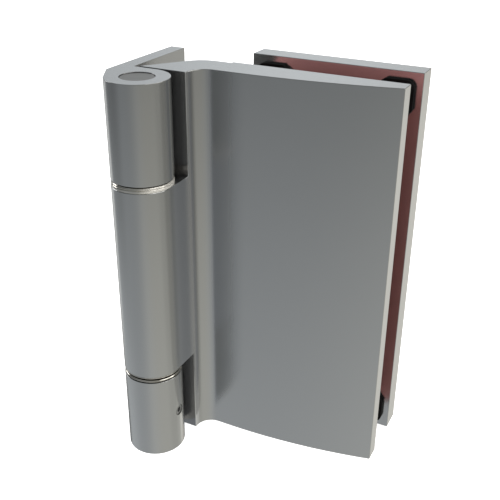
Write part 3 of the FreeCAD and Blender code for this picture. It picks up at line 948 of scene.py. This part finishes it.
@dataclass
class FrameLeaf(Leaf):
    """The leaf that is fixed to the door frame: a flange with an upper and a lower knuckle."""

    lower_end: float = 34.5
    upper_seat: float = 115.0
    face_x: float = -14.9
    inner_x: float = -8.9
    reach: float = 45.0
    blend_angle: float = 30.0
    bore_radius: float = 6.02
    fixing_line: float = 29.0
    fixing_margin: float = 18.75
    fixing_pitch: float = 37.5
    fixing_holes: int = 4
    hole_radius: float = 3.25
    sink_radius: float = 6.25
    grub_height: float = 17.5
    grub_radius: float = 2.05
    knuckle_steps: int = 300
    grub_steps: int = 33

    def knuckle_plan(self, extra: Array = NO_ANGLES) -> Array:
        """The knuckle's side of the plan: fixing face, slope that touches the circle, circle, flange.

        Args:
            extra: further angles on the circle in radians, for the grub hole.

        Returns:
            Points of X and Y.
        """
        slope = math.radians(180.0 + self.blend_angle)
        even = np.linspace(slope, math.radians(450.0), self.knuckle_steps)
        angle = spliced(even, extra + 2 * np.pi)
        turn = self.knuckle_radius * np.column_stack((np.cos(angle), np.sin(angle)))
        slant = math.radians(self.blend_angle)
        blend_y = (-self.face_x * math.cos(slant) - self.knuckle_radius) / math.sin(slant)
        start = [(self.face_x, self.notch_y), (self.face_x, blend_y)]
        return np.vstack((start, turn, [(self.inner_x, self.knuckle_radius), (self.inner_x, self.notch_y)]))

    def grub_offsets(self) -> Array:
        """Places across the grub hole, close together near its sides."""
        return self.grub_radius * np.sin(np.linspace(-np.pi / 2, np.pi / 2, self.grub_steps))

    def opening(self, plan: Array) -> Array:
        """Half the height of the grub hole over each plan point on the free side, else 0."""
        square = np.clip(self.grub_radius**2 - plan[:, 1] ** 2, 0.0, None)
        return np.where(plan[:, 0] > 0, np.sqrt(square), 0.0)

    def add_lower_knuckle(self) -> None:
        """Wall and bore of the lower knuckle, both slit at the grub hole's height and opened there."""
        across = self.grub_offsets()
        outer = self.knuckle_plan(np.arcsin(across / self.knuckle_radius))
        bore = circle(self.bore_radius, self.round_steps, np.arcsin(across / self.bore_radius))
        seat_end = self.lower_end - self.seat_depth
        for plan, top, ring in ((outer, self.lower_end, False), (bore, seat_end, True)):
            gape = self.opening(plan)
            self.skin.wall(plan, 0.0, self.grub_height - gape, ring=ring)
            self.skin.wall(plan, self.grub_height + gape, top, ring=ring)
        rise = np.sqrt(self.grub_radius**2 - across**2)
        loop_y = np.concatenate((across, across[-2:0:-1]))
        loop_z = np.concatenate((rise, -rise[-2:0:-1])) + self.grub_height
        ends = [np.sqrt(radius**2 - loop_y**2) for radius in (self.knuckle_radius, self.bore_radius)]
        rows = [np.column_stack((end, loop_y, loop_z)) for end in ends]
        self.skin.sheet(np.stack(rows), ring=True)
        self.add_seat(seat_end, self.lower_end, bore)
        self.add_end(0.0, outer, bore)
        self.add_shelf(self.lower_end, outer)

    def add_upper_knuckle(self) -> None:
        """Wall and bore of the upper knuckle."""
        outer = self.knuckle_plan()
        bore = circle(self.bore_radius, self.round_steps)
        seat_end = self.upper_seat + self.seat_depth
        self.skin.wall(outer, self.upper_seat, self.height)
        self.skin.wall(bore, seat_end, self.height, ring=True)
        self.add_seat(seat_end, self.upper_seat, bore)
        self.add_end(self.height, outer, bore)
        self.add_shelf(self.upper_seat, outer)

    def add_seat(self, inner_end: float, mouth: float, bore: Array) -> None:
        """Seat of a bush: a step out from the bore, then a wall to the knuckle's end.

        Args:
            inner_end: height of the step.
            mouth: height of the knuckle's end.
            bore: points round the bore.
        """
        seat = circle(self.seat_radius, self.round_steps)
        self.skin.cap(inner_end, seat, bore)
        self.skin.wall(seat, inner_end, mouth, ring=True)

    def add_shelf(self, level: float, outer: Array) -> None:
        """Face of a knuckle in the joint."""
        self.skin.cap(level, outer, circle(self.seat_radius, self.round_steps))

    def add_end(self, level: float, outer: Array, bore: Array) -> None:
        """End face of the leaf, over knuckle and flange."""
        flange = [(self.inner_x, self.reach), (self.face_x, self.reach)]
        self.skin.cap(level, np.vstack((outer, flange)), bore)

    def add_flange(self) -> None:
        """Flange with its countersunk fixing holes, and the notch between the knuckles."""
        stops = (0.0, self.grub_height, self.lower_end, self.upper_seat, self.height)
        side = [(self.notch_y, stop) for stop in stops] + [(self.reach, self.height), (self.reach, 0.0)]
        heights = self.fixing_margin + self.fixing_pitch * np.arange(self.fixing_holes)
        turns = [Turn(Axis.X, (self.fixing_line, height), self.hole_steps) for height in heights]
        sink_end = self.inner_x - (self.sink_radius - self.hole_radius)
        for level, radius in ((self.face_x, self.hole_radius), (self.inner_x, self.sink_radius)):
            self.skin.flat(upright(side, level, Axis.X), [turn.ring(radius, level) for turn in turns])
        hole = self.hole_radius
        section = ((hole, self.face_x), (hole, sink_end), (self.sink_radius, self.inner_x))
        for turn in turns:
            self.skin.turned(section, turn)
        end = np.array([(self.inner_x, self.reach), (self.face_x, self.reach)])
        self.skin.wall(end, 0.0, self.height)
        self.skin.wall(end - (0.0, self.reach - self.notch_y), self.lower_end, self.upper_seat)

    def build(self) -> None:
        """Make the leaf."""
        self.add_lower_knuckle()
        self.add_upper_knuckle()
        self.add_flange()
        hang(self.skin, "frame_leaf", "drawn", SATIN, "frame", self.rounding)


@dataclass
class DoorLeaf(Leaf):
    """The bowed leaf in front of the glass: knuckle, web, valley, bow and neck in one drawn profile."""

    knuckle_low: float = 36.9
    knuckle_high: float = 112.6
    front_y: float = 19.7
    valley_radius: float = 6.6
    bow_start: float = 24.0
    bow_radius: float = 250.0
    clamp_y: float = 33.2
    neck_back_y: float = 31.8
    neck_tip_x: float = -7.5
    neck_angle: float = 54.4
    neck_corner: float = 11.0
    bore_radius: float = 6.5
    thread_radius: float = 4.05
    thread_depth: float = 9.5
    knuckle_steps: int = 260
    bend_steps: int = 24
    bow_steps: int = 40

    def plate_plan(self) -> Array:
        """The plan of the plate: arcs for valley, bow and neck, each touching its neighbours, and flats.

        Returns:
            Points of X and Y from the web round to the tip of the neck.
        """
        knuckle, valley = self.knuckle_radius, self.valley_radius
        hollow = arc((knuckle + valley, self.front_y - valley), valley, 180, 90, self.bend_steps)
        sweep = math.degrees(math.asin((self.far_x - self.bow_start) / self.bow_radius))
        bow_centre = (self.bow_start, self.front_y + self.bow_radius)
        bow = arc(bow_centre, self.bow_radius, -90, sweep - 90, self.bow_steps)
        slant = math.radians(self.neck_angle)
        turn_x = self.neck_tip_x + (self.neck_back_y - self.notch_y) / math.tan(slant)
        turn_end = turn_x + self.neck_corner * math.tan(slant / 2)
        turn_centre = (turn_end, self.neck_back_y - self.neck_corner)
        turn = arc(turn_centre, self.neck_corner, 90, 90 + self.neck_angle, self.bend_steps)
        clamp = [(self.far_x, self.clamp_y), (self.near_x, self.clamp_y)]
        step = [(self.near_x, self.neck_back_y)]
        tip = [(self.neck_tip_x, self.notch_y)]
        return np.vstack(([(knuckle, self.notch_y)], hollow, bow, clamp, step, turn, tip))

    def knuckle_plan(self) -> Array:
        """The plan of the knuckle: a slope from the neck that touches the circle, the circle, the web.

        Returns:
            Points of X and Y from the tip of the neck round to the web.
        """
        tip = np.array((self.neck_tip_x, self.notch_y))
        reach = math.atan2(tip[1], tip[0]) + math.acos(self.knuckle_radius / np.linalg.norm(tip))
        turn = arc((0.0, 0.0), self.knuckle_radius, math.degrees(reach), 360.0, self.knuckle_steps)
        return np.vstack(([tip], turn, [(self.knuckle_radius, self.notch_y)]))

    def add_plate(self) -> None:
        """Plate over the whole height, its clamp face with two threaded holes, and both notches."""
        plan = self.plate_plan()
        stops = (0.0, self.knuckle_low, self.knuckle_high, self.height)
        corner = int(np.flatnonzero((plan == (self.far_x, self.clamp_y)).all(axis=1))[0])
        self.skin.wall(plan[: corner + 1], *stops)
        self.skin.wall(plan[corner + 1 :], *stops)
        near = [(self.near_x, stop) for stop in stops]
        far = [(self.far_x, stop) for stop in reversed(stops)]
        mouths = [turn.ring(self.thread_radius, self.clamp_y) for turn in self.screw_turns()]
        self.skin.flat(upright(near + far, self.clamp_y, Axis.Y), mouths)
        thread_end = self.clamp_y - self.thread_depth
        for turn in self.screw_turns():
            self.skin.turned(((self.thread_radius, self.clamp_y), (self.thread_radius, thread_end)), turn)
            self.skin.flat(turn.ring(self.thread_radius, thread_end))
        for level in (0.0, self.height):
            self.skin.cap(level, plan)
        self.skin.wall(plan[[-1, 0]], 0.0, self.knuckle_low)
        self.skin.wall(plan[[-1, 0]], self.knuckle_high, self.height)

    def add_knuckle(self) -> None:
        """Knuckle with its bore and a bush seat at each end."""
        plan = self.knuckle_plan()
        self.skin.wall(plan, self.knuckle_low, self.knuckle_high)
        seat = circle(self.seat_radius, self.round_steps)
        bore = circle(self.bore_radius, self.round_steps)
        inner_ends = (self.knuckle_low + self.seat_depth, self.knuckle_high - self.seat_depth)
        for mouth, inner_end in zip((self.knuckle_low, self.knuckle_high), inner_ends):
            self.skin.cap(mouth, plan, seat)
            self.skin.wall(seat, mouth, inner_end, ring=True)
            self.skin.cap(inner_end, seat, bore)
        self.skin.wall(bore, *inner_ends, ring=True)

    def build(self) -> None:
        """Make the leaf."""
        self.add_plate()
        self.add_knuckle()
        hang(self.skin, "door_leaf", "drawn", SATIN, "door", self.rounding)


@dataclass(frozen=True)
class Bush:
    """One flanged bush: where it sits and how its rim is turned."""

    node: str
    body: str
    seat: float
    way: int
    groove: float
    seat_corner: float
    free_corner: float
    flange: float = 1.15
    rim_radius: float = 11.1
    bore_radius: float = 6.04
    sleeve_radius: float = 8.0
    sleeve_length: float = 12.0
    neck_radius: float = 10.1
    corner_steps: int = 10

    def profile(self) -> Array:
        """Section of the bush: bore, sleeve, groove and a flange rim with two rounded corners.

        Returns:
            Points of distance from the axis and height, in order round the section.
        """
        sleeve = [(self.bore_radius, -self.sleeve_length), (self.sleeve_radius, -self.sleeve_length)]
        throat = [(self.sleeve_radius, 0.0), (self.neck_radius, 0.0), (self.neck_radius, self.groove)]
        low, high = self.seat_corner, self.free_corner
        under = arc((self.rim_radius - low, self.groove + low), low, -90, 0, self.corner_steps)
        over = arc((self.rim_radius - high, self.flange - high), high, 0, 90, self.corner_steps)
        section = np.vstack((sleeve, throat, under, over, [(self.bore_radius, self.flange)]))
        return section * (1, self.way) + (0, self.seat)

    def build(self, steps: int) -> None:
        """Turn the section once round the pin.

        Args:
            steps: number of steps in the turn.
        """
        skin = Skin()
        profile = self.profile()
        skin.turned(np.vstack((profile, profile[:1])), Turn(Axis.Z, (0.0, 0.0), steps))
        hang(skin, self.node, "turned", POLISHED, self.body)


@dataclass
class PinSet:
    """Pin, grub screw and the four flanged bushes."""

    turn_steps: int = 180
    bushes: tuple[Bush, ...] = (
        Bush("upper_frame_bush", "frame", 115.0, -1, 0.42, 0.58, 0.04),
        Bush("upper_door_bush", "door", 112.6, 1, 0.04, 0.12, 0.40),
        Bush("lower_door_bush", "door", 36.9, -1, 0.06, 0.05, 0.50, 0.65),
        Bush("lower_frame_bush", "frame", 34.5, 1, 0.42, 0.12, 0.60),
    )

    def build(self) -> None:
        """Make the bushes and dress the pin and its screw."""
        for bush in self.bushes:
            bush.build(self.turn_steps)
        dress_node("hinge_pin", GROUND)
        dress_node("pin_grub_screw", SCREW)


@dataclass
class Clamp(HingePart):
    """Back plate, gaskets, sleeves and screws that hold the pane."""

    back_plate: Pair = (49.2, 58.2)
    front_gasket: Pair = (33.2, 35.2)
    back_gasket: Pair = (47.2, 49.2)
    gasket_margin: float = 2.6
    gasket_corner: float = 3.0
    lobe_length: float = 10.2
    lobe_ramp: float = 3.6
    lobe_depth: float = 2.5
    lobe_blend: float = 1.0
    hole_radius: float = 4.3
    sink_radius: float = 8.25
    sleeve_ends: Pair = (35.3, 47.1)
    sleeve_radius: float = 6.8
    sleeve_corner: float = 0.5
    soft_rounding: float = 0.3
    hole_steps: int = 64

    def slab(self, outline: Array, front: float, back: float, sink_radius: float) -> Skin:
        """A plate with two round holes: the outline carried along Y from front to back.

        Args:
            outline: points of X and Z.
            front: Y of the front face.
            back: Y of the back face.
            sink_radius: radius of the holes in the back face, larger where they are countersunk.

        Returns:
            The skin of the plate.
        """
        skin = Skin()
        skin.sheet(np.stack([upright(outline, level, Axis.Y) for level in (front, back)]), ring=True)
        for level, radius in ((front, self.hole_radius), (back, sink_radius)):
            holes = [turn.ring(radius, level) for turn in self.screw_turns()]
            skin.flat(upright(outline, level, Axis.Y), holes)
        sink_start = back - (sink_radius - self.hole_radius)
        section = [(self.hole_radius, front), (self.hole_radius, sink_start), (sink_radius, back)]
        for turn in self.screw_turns():
            skin.turned(section if sink_start < back else section[::2], turn)
        return skin

    def box(self, margin: float) -> Array:
        """Corners of the clamp face, drawn in by a margin.

        Args:
            margin: how far in they lie.

        Returns:
            Four points of X and Z.
        """
        low_x, high_x = self.near_x + margin, self.far_x - margin
        low_z, high_z = margin, self.height - margin
        return np.array([(low_x, low_z), (high_x, low_z), (high_x, high_z), (low_x, high_z)])

    def lobed_outline(self) -> Array:
        """Outline of the back gasket: one lobed corner mirrored to all four, the sides drawn in between.

        Returns:
            Points of X and Z.
        """
        corners = self.box(self.gasket_margin)
        middle = corners.mean(axis=0)
        wide, high = corners[2] - middle
        length, depth, ramp = self.lobe_length, self.lobe_depth, self.lobe_ramp
        quarter = np.array(
            [
                (wide - depth, high - length - ramp),
                (wide, high - length),
                (wide, high),
                (wide - length, high),
                (wide - length - ramp, high - depth),
            ]
        )
        mirrored = [quarter, quarter[::-1] * (-1, 1), quarter * (-1, -1), quarter[::-1] * (1, -1)]
        radii = (self.lobe_blend, self.lobe_blend, self.gasket_corner, self.lobe_blend, self.lobe_blend)
        return rounded(np.vstack(mirrored) + middle, radii * 4)

    def sleeve(self, turn: Turn) -> Skin:
        """A tube round a screw: its rounded section turned once about the screw.

        Args:
            turn: the turn round the screw.

        Returns:
            The skin of the tube.
        """
        front, back = self.sleeve_ends
        inner, outer = self.hole_radius, self.sleeve_radius
        corners = np.array([(inner, front), (outer, front), (outer, back), (inner, back)])
        section = rounded(corners, [self.sleeve_corner] * len(corners))
        skin = Skin()
        skin.turned(np.vstack((section, section[:1])), turn)
        return skin

    def build(self) -> None:
        """Make plate, gaskets and sleeves and dress the screws."""
        plate = self.slab(self.box(0.0), *self.back_plate, self.sink_radius)
        hang(plate, "back_plate", "gap_shade", SATIN, "door", self.rounding)
        plain = rounded(self.box(self.gasket_margin), [self.gasket_corner] * 4)
        fibre = self.slab(plain, *self.front_gasket, self.hole_radius)
        hang(fibre, "front_gasket", "cut", FIBRE, "door", self.soft_rounding)
        rubber = self.slab(self.lobed_outline(), *self.back_gasket, self.hole_radius)
        hang(rubber, "back_gasket", "moulded", RUBBER, "door", self.soft_rounding)
        for name, turn in zip(("lower", "upper"), self.screw_turns()):
            hang(self.sleeve(turn), f"{name}_glass_sleeve", "moulded", PLASTIC, "door")
        dress_node("clamp_screws", SCREW)


@dataclass(frozen=True)
class Softbox:
    """A soft panel of the studio, or a flag that darkens it, seen far off in one direction."""

    towards: Triple
    full_within: float
    gone_at: float
    strength: float
    colour: Colour = WHITE

    def light(self, graph: Graph, direction: Value) -> Value:
        """Brightness that falls from full to none between two angles off the panel's middle.

        Args:
            graph: the world's graph.
            direction: direction that a ray looks in.

        Returns:
            The brightness that the ray meets.
        """
        along = graph.along(direction, tuple(Vector(self.towards).normalized()))
        gone, full = (math.cos(math.radians(angle)) for angle in (self.gone_at, self.full_within))
        return graph.step(along, (gone, full)) * self.strength


@dataclass
class Studio:
    """Camera at the photo's angle, pale floor and soft light."""

    camera_place: Triple = (0.16253, -0.23967, 0.13852)
    heading: float = 26.61
    pitch: float = 26.54
    roll: float = 0.45
    lens: float = 56.06
    sensor: float = 36.0
    clip_start: float = 0.01
    floor_level: float = -0.075
    floor_half: float = 3.0
    floor_colours: tuple[Colour, Colour] = ((0.80, 0.80, 0.80), (0.84, 0.84, 0.84))
    floor_speckle: Grain = Grain((900.0,) * 3, 2.0, 0.5)
    floor_roughness: float = 0.9
    floor_glow: float = 0.8
    lamp_size: float = 1.6
    lamp_watts: float = 26.0
    lamp_height: float = 1.4
    room: float = 0.23
    sheet: float = 0.27
    sheet_below: Span = (0.0, 0.75)
    pit: float = 0.65
    pit_below: Span = (0.70, 0.84)
    right_hand: Triple = (0.894, 0.448, 0.0)
    warm_right: Span = (-0.75, 0.55)
    cool: Colour = (0.955, 1.01, 1.035)
    warm: Colour = (1.01, 1.015, 0.935)
    flags: tuple[Softbox, ...] = (
        Softbox((-0.393, -0.909, -0.139), 12, 55, 0.22),
        Softbox((-0.925, -0.276, 0.259), 15, 55, 0.50),
        Softbox((-0.372, 0.730, -0.574), 20, 45, 0.85),
        Softbox((0.842, 0.333, -0.423), 8, 26, 0.12),
    )
    softboxes: tuple[Softbox, ...] = (
        Softbox((-0.131, 0.931, 0.342), 10, 30, 0.25, (0.95, 0.995, 1.04)),
        Softbox((-0.545, 0.765, 0.342), 10, 31, 0.36, (0.94, 1.0, 1.06)),
        Softbox((0.153, 0.870, -0.469), 10, 25, 0.44, (1.02, 0.99, 0.915)),
        Softbox((0.573, 0.818, -0.052), 8, 24, 0.13, (1.02, 1.0, 0.95)),
        Softbox((-0.849, 0.403, -0.342), 8, 20, 0.40, (1.0, 1.0, 0.98)),
        Softbox((-0.969, -0.051, 0.242), 8, 15, 4.0),
        Softbox((0.734, -0.116, 0.669), 11, 20, 2.4, (1.0, 1.0, 0.98)),
        Softbox((0.878, 0.391, 0.276), 13, 24, 2.0, (1.0, 1.0, 0.96)),
        Softbox((0.140, -0.200, -0.970), 14, 27, 0.45, (1.03, 1.0, 0.93)),
    )

    def set_camera(self) -> None:
        """Put the camera where the photo was taken from."""
        camera = placed("photo_camera", bpy.data.cameras.new("photo_camera"))
        camera.data.lens = self.lens
        camera.data.sensor_width = self.sensor
        camera.data.clip_start = self.clip_start
        turn = (
            Matrix.Rotation(math.radians(self.heading), 4, "Z")
            @ Matrix.Rotation(math.radians(90 - self.pitch), 4, "X")
            @ Matrix.Rotation(math.radians(self.roll), 4, "Z")
        )
        camera.matrix_world = Matrix.Translation(self.camera_place) @ turn
        bpy.context.scene.camera = camera

    def lay_floor(self) -> None:
        """Lay a flat square at the floor's height."""
        corners = self.floor_half * np.array([(-1, -1), (1, -1), (1, 1), (-1, 1)])
        mesh = bpy.data.meshes.new("studio_floor")
        mesh.from_pydata(upright(corners, self.floor_level, Axis.Z), [], [range(len(corners))])
        paint = bpy.data.materials.new("studio_floor_paint")
        paint.use_nodes = True
        graph = Graph(paint.node_tree)
        graph.surface(
            Base_Color=graph.mixed(self.floor_speckle.on(graph), *self.floor_colours),
            Roughness=self.floor_roughness,
            Emission_Color=(*WHITE, 1.0),
            Emission_Strength=self.floor_glow,
        )
        mesh.materials.append(paint)
        floor = placed("studio_floor", mesh)
        floor.visible_glossy = False

    def light_world(self) -> None:
        """Surround the hinge with a dim room, a pale sheet low down, dark flags and soft white panels."""
        world = bpy.data.worlds.new("studio")
        world.use_nodes = True
        bpy.context.scene.world = world
        graph = Graph(world.node_tree)
        direction = graph.node("ShaderNodeTexCoord", output="Generated")
        _, _, rise = graph.parts_of(direction)
        dim = self.room + self.sheet * graph.step(-rise, self.sheet_below)
        dim = dim * (1.0 - self.pit * graph.step(-rise, self.pit_below))
        for flag in self.flags:
            dim = dim * (1.0 - flag.light(graph, direction))
        warmth = graph.step(graph.along(direction, self.right_hand), self.warm_right)
        total = graph.mixed(dim, BLACK, graph.mixed(warmth, self.cool, self.warm))
        for panel in self.softboxes:
            sockets = {0: panel.colour, "Scale": panel.light(graph, direction)}
            glow = graph.node("ShaderNodeVectorMath", {"operation": "SCALE"}, sockets)
            total = graph.node("ShaderNodeVectorMath", {"operation": "ADD"}, {0: total, 1: glow})
        seen = graph.node("ShaderNodeLightPath", output="Is Camera Ray")
        background = graph.node("ShaderNodeBackground", sockets={"Color": graph.mixed(seen, total, WHITE)})
        graph.node("ShaderNodeOutputWorld", sockets={"Surface": background})

    def hang_lamp(self) -> None:
        """Hang a large soft lamp over the floor."""
        lamp = bpy.data.lights.new("overhead_lamp", "AREA")
        lamp.shape = "SQUARE"
        lamp.size = self.lamp_size
        lamp.energy = self.lamp_watts
        holder = placed("overhead_lamp", lamp)
        holder.location = (0.0, 0.0, self.lamp_height)
        holder.visible_glossy = False

    def build(self) -> None:
        """Set up camera, floor and light."""
        self.set_camera()
        self.lay_floor()
        self.light_world()
        self.hang_lamp()
        bpy.context.scene.view_settings.view_transform = "Standard"
        LOG.info("studio ready")


def main() -> None:
    """Build and dress the hinge, then the studio."""
    logging.basicConfig(level=logging.INFO, format="%(message)s")
    for part in (FrameLeaf(), DoorLeaf(), PinSet(), Clamp(), Studio()):
        part.build()


if __name__ == "__main__":
    main()
